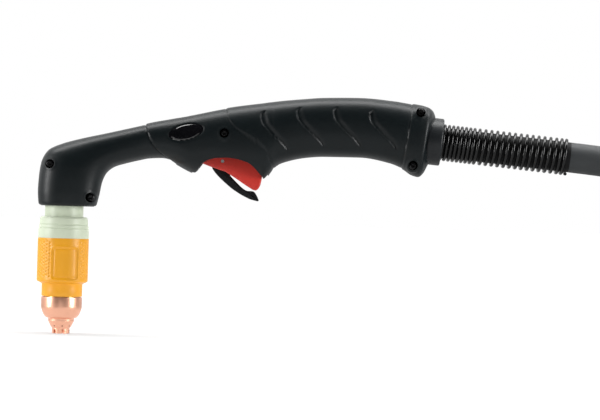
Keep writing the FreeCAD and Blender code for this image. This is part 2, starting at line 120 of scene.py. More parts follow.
def quads(rows, columns, wrap_rows=False, wrap_columns=False, start=0, flip=False):
    """Faces of a grid of points stored row by row."""
    faces = []
    for i in range(rows if wrap_rows else rows - 1):
        for j in range(columns if wrap_columns else columns - 1):
            a = start + i * columns + j
            b = start + i * columns + (j + 1) % columns
            c = start + ((i + 1) % rows) * columns + (j + 1) % columns
            d = start + ((i + 1) % rows) * columns + j
            faces.append((a, d, c, b) if flip else (a, b, c, d))
    return faces


def even_angles(count):
    """Evenly spaced angles round a full turn."""
    return np.arange(count) * 2 * math.pi / count


def axes_round(axis):
    """Two directions across an axis."""
    axis = np.asarray(axis, float) / np.linalg.norm(axis)
    helper = np.array([0.0, 1.0, 0.0]) if abs(axis[1]) < 0.9 else np.array([1.0, 0.0, 0.0])
    first = np.cross(helper, axis)
    first /= np.linalg.norm(first)
    return axis, first, np.cross(axis, first)


CORNER_SHARE = 0.45               # most of an edge that the rounding of one corner may take up


def softened(profile, radius, steps=3):
    """A closed profile with each of its corners rounded."""
    points = [np.array(p, float) for p in profile]
    count = len(points)
    result = []
    for i, corner in enumerate(points):
        before, after = points[i - 1], points[(i + 1) % count]
        room_before, room_after = np.linalg.norm(before - corner), np.linalg.norm(after - corner)
        reach = min(radius, CORNER_SHARE * room_before, CORNER_SHARE * room_after)
        start = corner + (before - corner) / room_before * reach
        end = corner + (after - corner) / room_after * reach
        for k in range(steps + 1):
            t = k / steps
            result.append((1 - t) ** 2 * start + 2 * t * (1 - t) * corner + t * t * end)
    return result


def lathe_points(profile, base=(0, 0, 0), axis=(0, 0, 1), segments=128):
    """Points of a turned surface: one row for each profile point, one column for each angle."""
    axis, first, second = axes_round(axis)
    angles = even_angles(segments)
    ring = np.outer(np.cos(angles), first) + np.outer(np.sin(angles), second)
    rows = [np.asarray(base, float) + axis * height + ring * radius for radius, height in profile]
    return np.array(rows)


def lathe(name, profile, body, base=(0, 0, 0), axis=(0, 0, 1), segments=128, soft=0.3, **ties):
    """A turned solid from a closed outline of (radius, height) points."""
    outline = softened(profile, soft) if soft else [np.array(p, float) for p in profile]
    outline = [(max(r, 0.0), h) for r, h in outline]
    points = lathe_points(outline, base, axis, segments)
    faces = quads(len(outline), segments, True, True)
    return add_object(name, points.reshape(-1, 3), faces, body, **ties)


def cut(piece, tools, sharp=35.0):
    """Cuts closed tools, given as (points, faces) pairs in millimetres, out of a piece."""
    vertices, faces = [], []
    for points, polygons in tools:
        offset = len(vertices)
        vertices.extend((np.asarray(points, float) * MM).tolist())
        faces.extend(tuple(offset + k for k in polygon) for polygon in polygons)
    mesh = bpy.data.meshes.new("cutter")
    mesh.from_pydata(vertices, [], faces)
    mesh.update()
    cutter = bpy.data.objects.new("cutter", mesh)
    bpy.context.scene.collection.objects.link(cutter)
    work = bmesh.new()
    work.from_mesh(mesh)
    bmesh.ops.recalc_face_normals(work, faces=work.faces)
    work.to_mesh(mesh)
    work.free()
    modifier = piece.modifiers.new("cut", "BOOLEAN")
    modifier.operation = "DIFFERENCE"
    modifier.solver = "EXACT"
    modifier.object = cutter
    modifier.use_self = True
    depsgraph = bpy.context.evaluated_depsgraph_get()
    result = bpy.data.meshes.new_from_object(piece.evaluated_get(depsgraph))
    piece.modifiers.clear()
    old = piece.data
    result.name = old.name
    piece.data = result
    bpy.data.objects.remove(cutter)
    piece.data.shade_smooth()
    piece.data.set_sharp_from_angle(angle=math.radians(sharp))
    return piece


def prism(outline, y_low, y_high):
    """Closed tool: an (x, z) outline given thickness along Y."""
    count = len(outline)
    points = [(x, y, z) for y in (y_low, y_high) for x, z in outline]
    faces = [tuple(range(count)), tuple(range(2 * count - 1, count - 1, -1))]
    faces += [(i, i + count, (i + 1) % count + count, (i + 1) % count) for i in range(count)]
    return points, faces


def bar(start, end, radius, segments=32):
    """Closed tool: a round bar between two points."""
    start, end = np.asarray(start, float), np.asarray(end, float)
    _, first, second = axes_round(end - start)
    angles = even_angles(segments)
    ring = radius * (np.outer(np.cos(angles), first) + np.outer(np.sin(angles), second))
    points = np.vstack([start + ring, end + ring])
    faces = [(i, (i + 1) % segments, (i + 1) % segments + segments, i + segments)
             for i in range(segments)]
    faces += [tuple(range(segments - 1, -1, -1)), tuple(range(segments, 2 * segments))]
    return points, faces


def smooth_steps(knots, values, at):
    """Shape-keeping cubic through values at knots: it never overshoots."""
    knots, values, at = np.asarray(knots, float), np.asarray(values, float), np.asarray(at, float)
    gaps = np.diff(knots)
    slopes = np.diff(values) / gaps
    tangents = np.zeros_like(values)
    for k in range(1, len(values) - 1):
        if slopes[k - 1] * slopes[k] > 0:
            near, far = 2 * gaps[k] + gaps[k - 1], gaps[k] + 2 * gaps[k - 1]
            tangents[k] = (near + far) / (near / slopes[k - 1] + far / slopes[k])
    tangents[0], tangents[-1] = slopes[0], slopes[-1]
    i = np.clip(np.searchsorted(knots, at, side="right") - 1, 0, len(gaps) - 1)
    t = (at - knots[i]) / gaps[i]
    return ((2 * t ** 3 - 3 * t ** 2 + 1) * values[i] + (t ** 3 - 2 * t ** 2 + t) * gaps[i] * tangents[i]
            + (3 * t ** 2 - 2 * t ** 3) * values[i + 1] + (t ** 3 - t ** 2) * gaps[i] * tangents[i + 1])


def fade(value, low, high):
    """0 below low, 1 above high, and smooth between them."""
    t = np.clip((value - low) / (high - low), 0, 1)
    return t * t * (3 - 2 * t)


# ---- materials --------------------------------------------------------------------------------

def material(name, colour, roughness, metallic=0.0, grain=0.4, bump=0.08, mottle=0.12, rough_spread=0.08,
             stretch=(1, 1, 1), coat=0.0, sheen=0.0, specular=0.5):
    """Procedural surface. grain is the size of its texture in millimetres and bump its height."""
    made = bpy.data.materials.new(name)
    made.use_nodes = True
    nodes, links = made.node_tree.nodes, made.node_tree.links
    shader = nodes["Principled BSDF"]
    shader.inputs["Metallic"].default_value = metallic
    shader.inputs["Specular IOR Level"].default_value = specular
    shader.inputs["Coat Weight"].default_value = coat
    shader.inputs["Coat Roughness"].default_value = 0.12
    shader.inputs["Sheen Weight"].default_value = sheen
    place = nodes.new("ShaderNodeTexCoord")
    mapping = nodes.new("ShaderNodeMapping")
    mapping.inputs["Scale"].default_value = stretch
    links.new(place.outputs["Object"], mapping.inputs["Vector"])
    fine = nodes.new("ShaderNodeTexNoise")
    fine.inputs["Scale"].default_value = 1000.0 / grain
    fine.inputs["Detail"].default_value = 3.0
    links.new(mapping.outputs["Vector"], fine.inputs["Vector"])
    broad = nodes.new("ShaderNodeTexNoise")
    broad.inputs["Scale"].default_value = 60.0
    broad.inputs["Detail"].default_value = 4.0
    links.new(place.outputs["Object"], broad.inputs["Vector"])
    ramp = nodes.new("ShaderNodeMix")
    ramp.data_type = "RGBA"
    ramp.inputs["A"].default_value = [c * (1 - mottle) for c in colour] + [1]
    ramp.inputs["B"].default_value = [min(c * (1 + mottle), 1) for c in colour] + [1]
    links.new(broad.outputs["Fac"], ramp.inputs["Factor"])
    links.new(ramp.outputs["Result"], shader.inputs["Base Color"])
    spread = nodes.new("ShaderNodeMapRange")
    spread.inputs["From Min"].default_value = 0.3
    spread.inputs["From Max"].default_value = 0.7
    spread.inputs["To Min"].default_value = max(roughness - rough_spread, 0.02)
    spread.inputs["To Max"].default_value = min(roughness + rough_spread, 1.0)
    links.new(fine.outputs["Fac"], spread.inputs["Value"])
    links.new(spread.outputs["Result"], shader.inputs["Roughness"])
    relief = nodes.new("ShaderNodeBump")
    relief.inputs["Strength"].default_value = 1.0
    relief.inputs["Distance"].default_value = bump * MM
    links.new(fine.outputs["Fac"], relief.inputs["Height"])
    links.new(relief.outputs["Normal"], shader.inputs["Normal"])
    return made


HANDLE_BLACK = material("handle_black", (0.0030, 0.0058, 0.0068), 0.40, grain=0.45, bump=0.035, mottle=0.3,
                        specular=0.30)
COLLAR_BLACK = material("collar_black", (0.008, 0.010, 0.012), 0.42, grain=0.5, bump=0.03, specular=0.4)
BADGE_GLOSS = material("badge_gloss", (0.004, 0.004, 0.005), 0.12, grain=2.0, bump=0.002, coat=0.6)
SCREW_BLACK = material("screw_black", (0.012, 0.012, 0.013), 0.24, metallic=0.6, grain=0.3, bump=0.01)
BODY_PALE = material("body_pale", (0.62, 0.69, 0.53), 0.42, grain=0.6, bump=0.02, mottle=0.04)
SLEEVE_YELLOW = material("sleeve_yellow", (0.85, 0.375, 0.012), 0.38, grain=0.5, bump=0.02, mottle=0.05)
COPPER = material("copper", (0.84, 0.45, 0.31), 0.36, metallic=1.0, grain=0.25, bump=0.012, mottle=0.1,
                  stretch=(0.06, 0.06, 1), rough_spread=0.08)
NOZZLE_COPPER = material("nozzle_copper", (0.66, 0.31, 0.20), 0.32, metallic=1.0, grain=0.25, bump=0.01)
TRIGGER_RED = material("trigger_red", (0.60, 0.030, 0.018), 0.36, grain=0.5, bump=0.02, mottle=0.07)
LEVER_BLACK = material("lever_black", (0.004, 0.005, 0.006), 0.45, grain=0.4, bump=0.04, specular=0.25)
PIN_STEEL = material("pin_steel", (0.62, 0.63, 0.64), 0.28, metallic=1.0, grain=0.2, bump=0.005)
SPRING_BLACK = material("spring_black", (0.002, 0.002, 0.0022), 0.18, grain=0.6, bump=0.006, specular=0.4)
# Jacket of the lead inside the spring, much darker than the grey lead outside it: painted shade between the
# spring's turns.
JACKET_PAINTED_SHADE = material("jacket_painted_shade", (0.003, 0.003, 0.0035), 0.6, grain=0.5, bump=0.05, specular=0.2)
LEAD_GREY = material("lead_grey", (0.021, 0.024, 0.026), 0.58, grain=0.5, bump=0.05, mottle=0.3, sheen=0.1)
STRAP_BLACK = material("strap_black", (0.012, 0.012, 0.013), 0.85, grain=0.5, bump=0.2, sheen=0.5)
PLUG_BLACK = material("plug_black", (0.015, 0.016, 0.017), 0.42, grain=0.5, bump=0.04)
PLUG_GREY = material("plug_grey", (0.05, 0.052, 0.055), 0.4, grain=0.4, bump=0.03)
SEAL_BLACK = material("seal_black", (0.012, 0.012, 0.012), 0.6, grain=0.4, bump=0.03)
BRASS = material("brass", (0.72, 0.50, 0.20), 0.3, metallic=1.0, grain=0.25, bump=0.008)
WIRE_GREY = material("wire_grey", (0.30, 0.30, 0.29), 0.4, grain=0.5, bump=0.01)
WIRE_RED = material("wire_red", (0.40, 0.05, 0.03), 0.4, grain=0.5, bump=0.01)
SWIRL_BROWN = material("swirl_brown", (0.25, 0.10, 0.04), 0.5, grain=0.5, bump=0.02)
GOLD = material("gold", (0.83, 0.60, 0.26), 0.2, metallic=1.0, grain=0.25, bump=0.004)

NODE_MATERIALS = {
    "torch_main_body": BODY_PALE,
    "body_o_ring": SEAL_BLACK,
    "cathode_block": BRASS,
    "nozzle": NOZZLE_COPPER,
    "swirl_ring": SWIRL_BROWN,
    "electrode": NOZZLE_COPPER,
    "emitter": PIN_STEEL,
    "plunger": BRASS,
    "plunger_spring": PIN_STEEL,
    "retaining_cap_insert": BRASS,
    "cap_sensor_pin": PLUG_GREY,
    "cap_sensor_switch": PLUG_GREY,
    "trigger_pin": PIN_STEEL,
    "trigger_spring": PIN_STEEL,
    "start_switch": PLUG_GREY,
    "start_switch_button": WIRE_RED,
    "safety_pin": PIN_STEEL,
    "safety_spring": PIN_STEEL,
    "gas_tube": SEAL_BLACK,
    "pilot_wire": WIRE_GREY,
    "control_wires": WIRE_RED,
    "lead_clamp": BRASS,
    # the lead's jacket inside the spring gets the darkened copy of the lead: painted shade between the
    # spring's turns
    "lead_jacket": JACKET_PAINTED_SHADE,
}


def dress_nodes():
    """Gives the CAD pieces that stay in view their materials."""
    for node, finish in NODE_MATERIALS.items():
        piece = frame["nodes"][node]
        piece.data.materials.clear()
        piece.data.materials.append(finish)
        piece.data.shade_smooth()
        piece.data.set_sharp_from_angle(angle=math.radians(35))


# ---- handle shells ------------------------------------------------------------------------------

WALL = 2.6
SECTION_POWER = 2.5               # of the superellipse that each section follows
RIM_RADIUS = 1.8
NECK_HOLE = 12.0
HEAD_FLOOR = 79.0
REAR_HOLE = 12.6
SPLIT_GROOVE = 0.25

# Outer edge, inner edge and half width of the handle, from the head's floor to the rear end.
STATIONS = [
    ((-15.9, 79.0), (19.6, 79.0), 16.2),
    ((-16.6, 88.4), (21.4, 86.4), 16.9),
    ((-16.2, 97.0), (22.9, 94.2), 17.0),
    ((-15.0, 105.6), (25.2, 99.6), 16.7),
    ((-10.9, 113.2), (28.2, 102.7), 15.8),
    ((-2.5, 117.5), (31.6, 104.6), 14.6),
    ((10.0, 121.2), (37.0, 106.3), 13.3),
    ((25.0, 124.8), (44.5, 108.3), 12.4),
    ((42.0, 129.0), (52.5, 110.0), 12.0),
    ((55.0, 132.3), (60.0, 110.4), 12.4),
    ((62.5, 134.0), (66.5, 109.0), 12.9),
    ((67.5, 135.2), (71.0, 106.7), 13.3),
    ((73.0, 136.4), (76.0, 103.3), 13.7),
    ((77.0, 137.3), (79.5, 101.9), 14.0),
    ((98.0, 142.1), (98.5, 100.4), 15.6),
    ((118.0, 145.7), (117.5, 98.9), 16.5),
    ((122.3, 146.4), (122.6, 98.2), 16.6),
    ((125.0, 146.9), (125.2, 100.6), 16.7),
    ((127.4, 147.2), (127.4, 103.6), 16.7),
    ((129.2, 147.5), (129.2, 106.4), 16.8),
    ((132.0, 147.9), (132.0, 108.8), 16.8),
    ((136.0, 148.4), (136.0, 110.4), 16.8),
    ((147.0, 149.6), (147.0, 112.9), 16.7),
    ((159.0, 150.7), (159.5, 114.1), 16.6),
    ((182.0, 151.3), (182.0, 114.3), 16.6),
    ((203.0, 149.8), (200.5, 111.4), 17.1),
    ((213.5, 148.3), (209.5, 107.9), 17.4),
    ((218.5, 147.6), (214.5, 104.7), 17.5),
    ((224.0, 146.2), (218.6, 103.6), 17.2),
    ((226.8, 143.9), (221.6, 106.0), 16.3),
    ((228.2, 140.8), (223.7, 110.0), 14.6),
]

# The cavity leaves the horn and the guard solid, so its underside runs straight past them.
HOLLOW_STATIONS = [s for s in STATIONS[1:-2] if not 60 < s[1][0] < 134]
HOLLOW_STATIONS[9:9] = [
    ((58.5, 133.1), (63.0, 110.6), 12.6),
    ((77.0, 137.3), (78.0, 111.0), 14.0),
    ((98.0, 142.1), (98.5, 111.3), 15.6),
    ((118.0, 145.7), (117.5, 109.8), 16.5),
]
# Its two end stations.
HOLLOW_STATIONS.insert(0, ((-15.9, 82.0), (18.2, 82.0), 16.2))
HOLLOW_STATIONS.append(((225.6, 141.2), (221.1, 109.6), 14.6))

# Outline of the opening round the trigger: the horn's tip, the arch above it, and its open foot.
HORN_TIP = [(77.4, 99.0), (78.6, 102.3), (79.4, 102.1), (80.2, 102.1), (80.9, 102.5), (81.5, 103.2),
            (82.4, 104.4)]
ARCH = [(84.8, 107.8), (89.1, 110.2), (94.1, 111.4), (99.8, 111.7), (104.7, 111.3), (109.7, 110.2),
        (114.1, 108.4), (117.8, 105.3), (120.3, 102.5), (122.5, 100.1)]
OPENING_FOOT = [(122.95, 97.0), (122.0, 85.0), (77.4, 85.0)]
TRIGGER_SLOT = [(82.6, 90), (82.6, 117), (125.6, 117), (125.6, 90)]
SCREWS = [(-8.8, 104.8), (16.7, 84.6), (98.1, 126.8), (218.8, 143.1), (214.9, 110.2)]
SCREW_RIMS = [0.28, 0.28, 0.28, 0.55, 0.55]
SCREW_RIM_RADIUS = 3.3
SCREW_WELL = 2.95
SCREW_SEAT = 3.4                  # depth of a screw's well

# Relief lines in the side view, from the top of the handle down.
NECK_SEAM = [(49.0, 130.6), (50.6, 126.0), (54.0, 119.0), (58.4, 114.2), (68.4, 108.2)]
GRIP_SEAM = [(98.6, 142.4), (99.2, 139.5), (100.3, 135.8), (104.0, 131.0), (112.5, 125.5), (119.5, 120.8),
             (124.6, 115.8), (129.3, 106.0)]
REAR_SEAM = [(213.6, 148.6), (213.2, 143.6), (211.6, 131.0), (209.6, 119.0), (208.2, 108.0)]
SEAMS = [(NECK_SEAM, 0.55, 0.45), (GRIP_SEAM, 0.35, 0.3), (REAR_SEAM, 0.4, 0.32)]      # line, step, groove
SEAM_WIDTH = 0.55
NECK_LIP = 0.7                    # height of the lip behind the lower part of the neck seam
LEAF_TOPS = [(122.9, 141.8), (145.0, 144.6), (167.6, 145.2), (189.8, 144.2)]
LEAF_FRONT = [(0.0, 0.0), (-3.0, -2.6), (-2.4, -6.8), (1.9, -12.4), (5.6, -16.1), (10.4, -20.4),
              (13.2, -23.6), (14.6, -25.2)]
LEAF_WIDTHS = [0.0, 4.9, 6.0, 5.4, 5.2, 4.4, 2.2, 0.0]
LEAF_DEPTH = 0.9
BADGE_CENTRE = (74.5, 126.8)
BADGE_HALF = (11.0, 5.0)
BADGE_TILT = math.radians(14)
BADGE_SINK = 0.5
REAR_SCOOP = 3.2                  # depth of the hollow in the rear end's sides
REAR_SCOOP_REACH = 9.0


def station_rows(stations, spacing):
    """Evenly spaced outer edge, inner edge and half width along the handle."""
    outer = np.array([s[0] for s in stations])
    inner = np.array([s[1] for s in stations])
    width = np.array([s[2] for s in stations])
    steps = np.hypot(*np.diff(outer, axis=0).T) + np.hypot(*np.diff(inner, axis=0).T)
    along = np.concatenate([[0], np.cumsum(steps / 2)])
    at = np.linspace(0, along[-1], int(along[-1] / spacing) + 1)
    columns = [smooth_steps(along, c, at) for c in (*outer.T, *inner.T, width)]
    return at, np.array(columns).T


def handle_rows(stations, inset, spacing, across, rim=0.0):
    """Points of half of the handle's skin, on the +Y side: one row for each section."""
    at, rows = station_rows(stations, spacing)
    angles = np.linspace(0, math.pi, across)
    c, s = np.cos(angles), np.clip(np.sin(angles), 0, 1)
    up = np.sign(c) * np.abs(c) ** (2 / SECTION_POWER)
    out = s ** (2 / SECTION_POWER)
    out[0] = out[-1] = 0.0
    grid = np.zeros((len(rows), across, 3))
    for i, (ox, oz, ix, iz, width) in enumerate(rows):
        outer, inner = np.array([ox, 0, oz]), np.array([ix, 0, iz])
        close = rim - at[i]
        tuck = rim - math.sqrt(rim ** 2 - close ** 2) if close > 0 else 0.0
        half = np.linalg.norm(outer - inner) / 2 - inset - tuck
        direction = (outer - inner) / np.linalg.norm(outer - inner)
        grid[i] = (outer + inner) / 2 + np.outer(up * half, direction)
        grid[i, :, 1] += out * (width - inset - tuck)
    return grid


def grid_normals(grid):
    """Outward normals of a grid of points."""
    along = np.gradient(grid, axis=0)
    across = np.gradient(grid, axis=1)
    normals = np.cross(along, across)
    normals /= np.maximum(np.linalg.norm(normals, axis=2, keepdims=True), 1e-9)
    middle = grid.shape[1] // 2
    return normals if normals[len(grid) // 2, middle, 1] > 0 else -normals


def line_x(line, z):
    """x of a relief line at height z."""
    points = sorted(line, key=lambda p: p[1])
    heights = [p[1] for p in points]
    return smooth_steps(heights, [p[0] for p in points], np.clip(z, heights[0], heights[-1]))


def badge_distance(x, z):
    """0 at the badge's middle and 1 at its edge."""
    dx, dz = x - BADGE_CENTRE[0], z - BADGE_CENTRE[1]
    along = dx * math.cos(BADGE_TILT) + dz * math.sin(BADGE_TILT)
    up = dz * math.cos(BADGE_TILT) - dx * math.sin(BADGE_TILT)
    return np.hypot(along / BADGE_HALF[0], up / BADGE_HALF[1])


def relief(grid, side):
    """Height added to the skin: seams, steps, leaf-shaped grooves, screw rims and the split line."""
    x, z = grid[:, :, 0], grid[:, :, 2]
    height = np.zeros(x.shape)
    for line, step, groove in SEAMS:
        past = x - line_x(line, z)
        height += step * fade(past, -0.3, 0.5) * (1 - fade(past, 3.0, 26.0))
        height -= groove * np.exp(-(past / SEAM_WIDTH) ** 2)
    past = x - line_x(NECK_SEAM, z)
    height += NECK_LIP * fade(past, -0.2, 0.4) * (1 - fade(past, 2.0, 8.0)) * (1 - fade(z, 108.5, 113.0))
    for top_x, top_z in LEAF_TOPS:
        heights = [top_z + dz for _, dz in LEAF_FRONT][::-1]
        inside = (z > heights[0]) & (z < heights[-1])
        level = np.clip(z, heights[0], heights[-1])
        front = smooth_steps(heights, [top_x + dx for dx, _ in LEAF_FRONT][::-1], level)
        width = np.maximum(smooth_steps(heights, LEAF_WIDTHS[::-1], level), 0.05)
        across = (x - front) / width
        ramp = fade((x - front), -0.15, 0.75) * (1 - fade(across, 0.25, 1.0))
        height -= LEAF_DEPTH * np.where(inside, ramp, 0) * fade(width, 0.2, 1.8)
    if side < 0:
        for (screw_x, screw_z), rim in zip(SCREWS, SCREW_RIMS):
            gap = np.hypot(x - screw_x, z - screw_z)
            height += rim * np.exp(-((gap - SCREW_RIM_RADIUS) / 0.6) ** 2)
        height -= BADGE_SINK * (1 - fade(badge_distance(x, z), 0.96, 1.08))
    edge = np.minimum(np.arange(grid.shape[1]), np.arange(grid.shape[1])[::-1])
    height -= SPLIT_GROOVE * np.exp(-(edge / 0.7) ** 2)[None, :]
    return height


def half_circle(centre, axis_x, radius, count):
    """Half circle on the +Y side, from the outer edge of the handle round to its inner edge."""
    angles = np.linspace(0, math.pi, count)
    points = np.outer(np.cos(angles) * radius, axis_x) + np.outer(np.sin(angles) * radius, (0, 1, 0))
    return np.asarray(centre, float) + points


def shell_mesh(side, spacing, across):
    """Closed mesh of one hollow half of the handle."""
    outer = handle_rows(STATIONS, 0.0, spacing, across, RIM_RADIUS)
    outer += grid_normals(outer) * relief(outer, side)[:, :, None]
    outer[:, (0, -1), 1] = 0.0
    scoop = REAR_SCOOP * np.sin(np.linspace(0, math.pi, across)) ** 1.5
    end = (len(outer) - 1) * spacing
    near_end = fade(np.arange(len(outer)) * spacing, end - REAR_SCOOP_REACH, end)
    outer -= near_end[:, None, None] * scoop[None, :, None] * REAR_AXIS
    inner = handle_rows(HOLLOW_STATIONS, WALL, spacing, across)
    pick = np.linspace(0, len(inner) - 1, len(outer))
    low = np.floor(pick).astype(int)
    high = np.minimum(low + 1, len(inner) - 1)
    inner = inner[low] * (1 - (pick - low))[:, None, None] + inner[high] * (pick - low)[:, None, None]
    rear_up = np.array([-REAR_AXIS[2], 0, REAR_AXIS[0]])
    head_in = half_circle((0, 0, HEAD_FLOOR + 3.0), (-1, 0, 0), NECK_HOLE, across)
    head_out = half_circle((0, 0, HEAD_FLOOR), (-1, 0, 0), NECK_HOLE, across)
    tail_out = half_circle(rear(-3.4), rear_up, REAR_HOLE, across) - scoop[:, None] * REAR_AXIS
    tail_in = half_circle(rear(-10.0), rear_up, REAR_HOLE, across)
    outer = np.concatenate([head_out[None], outer, tail_out[None]])
    inner = np.concatenate([head_in[None], inner, tail_in[None]])
    rows = len(outer)
    points = np.concatenate([outer.reshape(-1, 3), inner.reshape(-1, 3)])
    points[:, 1] *= side
    base = rows * across
    faces = quads(rows, across) + quads(rows, across, start=base, flip=True)
    for j in (0, across - 1):
        for i in range(rows - 1):
            a, b = i * across + j, (i + 1) * across + j
            faces.append((a, b, b + base, a + base))
    for i in (0, rows - 1):
        for j in range(across - 1):
            a, b = i * across + j, i * across + j + 1
            faces.append((a, b, b + base, a + base))
    return points, faces


def skin_at(tree, x, z, side):
    """y of the skin where the side view shows x, z."""
    hit = tree.ray_cast(Vector((x * MM, side * 0.05, z * MM)), Vector((0, -side, 0)))
    return hit[0].y / MM


def build_handle():
    """Both shells of the handle, with the left one's screws and badge."""
    spacing, across = (0.62, 84) if FINE else (1.1, 48)
    for name, side in (("handle_shell_left", -1), ("handle_shell_right", 1)):
        points, faces = shell_mesh(side, spacing, across)
        piece = add_object(name + "_skin", points, faces, "handle", replaces=(name,), slot="handle_plastic",
                           material=HANDLE_BLACK, sharp=40)
        tools = [arch_tool(), well_tool(side)]
        if side < 0:
            tree = BVHTree.FromPolygons([v.co for v in piece.data.vertices],
                                        [p.vertices for p in piece.data.polygons])
            for number, (x, z) in enumerate(SCREWS):
                y = skin_at(tree, x, z, side)
                tools.append(bar((x, y + SCREW_SEAT, z), (x, y - 6, z), SCREW_WELL, 48))
                build_screw(number, x, y + SCREW_SEAT, z)
            build_badge(tree)
        cut(piece, tools, 40)


def arch_tool():
    """Everything below the trigger arch, between the horn and the guard's hook."""
    xs = np.array([p[0] for p in ARCH])
    at = np.linspace(xs[0], xs[-1], 60)
    smooth = list(zip(at, smooth_steps(xs, [p[1] for p in ARCH], at)))
    return prism(HORN_TIP + smooth + OPENING_FOOT, -30, 30)


def well_tool(side):
    """Slot in the underside that the trigger works in."""
    low, high = sorted((-side * 1.0, side * 7.4))
    return prism(TRIGGER_SLOT, low, high)


def build_badge(tree):
    """Glossy oval badge that follows the handle's side, with a fine raised line inside its edge."""
    rings, around = 20, 120
    angles = even_angles(around)
    grid = []
    for i in range(rings):
        part = 1 - i / rings
        along = BADGE_HALF[0] * part * np.cos(angles)
        up = BADGE_HALF[1] * part * np.sin(angles)
        x = BADGE_CENTRE[0] + along * math.cos(BADGE_TILT) - up * math.sin(BADGE_TILT)
        z = BADGE_CENTRE[1] + along * math.sin(BADGE_TILT) + up * math.cos(BADGE_TILT)
        dome = 0.45 * (1 - part ** 6) + 0.12 * math.exp(-((part - 0.8) / 0.03) ** 2)
        y = [skin_at(tree, a, b, -1) - dome for a, b in zip(x, z)]
        if not i:
            grid.append(np.stack([x, np.array(y) + 1.0, z], 1))
        grid.append(np.stack([x, y, z], 1))
    add_object("badge_plate", np.concatenate(grid), tube_faces(len(grid), around), "handle",
               replaces=("handle_badge",), slot="badge_plastic", material=BADGE_GLOSS)


SHANK = [(0.02, 18.5), (1.45, 18.0), (1.45, 0.0)]
HEAD = [(2.55, 0.0), (2.6, -0.5), (2.35, -1.3), (1.9, -1.65)]
SOCKET = [(1.05, -1.72), (1.0, -1.66), (1.0, -0.55)]
SOCKET_LOBES = 6


def build_screw(number, x, seat, z):
    """Pan-head screw with a six-lobed socket, sunk into the left shell."""
    around = 72
    angles = even_angles(around)
    plain = np.ones(around)
    star = 1.25 + 0.22 * np.cos(SOCKET_LOBES * angles)
    rings = [(radius * plain, height) for radius, height in SHANK + HEAD]
    rings += [(radius * star, height) for radius, height in SOCKET]
    rings.append((0.05 * plain, -0.45))
    grid = [np.stack([x + r * np.cos(angles), np.full(around, seat + height), z + r * np.sin(angles)], 1)
            for r, height in rings]
    add_object("screw_%02d_%03d" % (number, round(x + 100)), np.concatenate(grid),
               tube_faces(len(grid), around), "handle", replaces=("handle_screws",), slot="screw_steel",
               material=SCREW_BLACK)


# ---- head: shield, sleeve and collar --------------------------------------------------------------

SHIELD_PROFILE = [(2.7, 0), (5.45, 0), (5.45, 3.3), (5.75, 3.6), (6.8, 5.1), (7.4, 6.4), (8.05, 7.6),
                  (8.05, 9.3), (9.9, 10.1), (11.2, 11.8), (11.95, 13.8), (12.45, 15.2), (12.65, 16.3),
                  (12.65, 22.6), (11.05, 22.6), (11.05, 14.0), (9.6, 12.0), (6.6, 9.0), (4.2, 4.4),
                  (2.7, 3.4)]
SHIELD_SLOTS = 6
SHIELD_SLOT_START = 50.0          # degrees round from the rear
SHIELD_VENTS = 8
SLEEVE_RADIUS = 15.8
SLEEVE_PANEL = 9.5                # degrees round from the front, towards +X
PANEL_LEVEL = 43.6
DIMPLE_COLUMNS = (-75, -67, -59, -51, -43, -35, -27, 48, 56, 64, 72, 80)
DIMPLE_ROWS = 11
DIMPLE_START, DIMPLE_PITCH, DIMPLE_STAGGER = 35.4, 2.05, 1.0
DIMPLE_DEPTH, DIMPLE_RADIUS = 0.42, 0.62


def turned_about_z(points, degrees):
    """Points turned about the head's axis."""
    c, s = math.cos(math.radians(degrees)), math.sin(math.radians(degrees))
    p = np.asarray(points, float)
    return np.stack([p[:, 0] * c - p[:, 1] * s, p[:, 0] * s + p[:, 1] * c, p[:, 2]], 1)


def build_shield():
    """Copper drag shield with slots across its tip and vents above them."""
    piece = lathe("shield_copper", SHIELD_PROFILE, "cap", segments=180, soft=0.35, replaces=("drag_shield",),
                  slot="copper", material=COPPER)
    tools = []
    slot_points, slot_faces = prism([(0, -1), (7, -1), (7, 1.9), (6.3, 2.6), (0, 2.6)], -0.9, 0.9)
    for k in range(SHIELD_SLOTS):
        tools.append((turned_about_z(slot_points, SHIELD_SLOT_START + 360 * k / SHIELD_SLOTS), slot_faces))
    cut(piece, tools, 30)
    tools = []
    for k in range(SHIELD_VENTS):
        points, faces = bar((3, 0, 6.4), (9, 0, 3.7), 0.45, 16)
        tools.append((turned_about_z(points, 360 * (k + 0.25) / SHIELD_VENTS), faces))
    cut(piece, tools, 30)


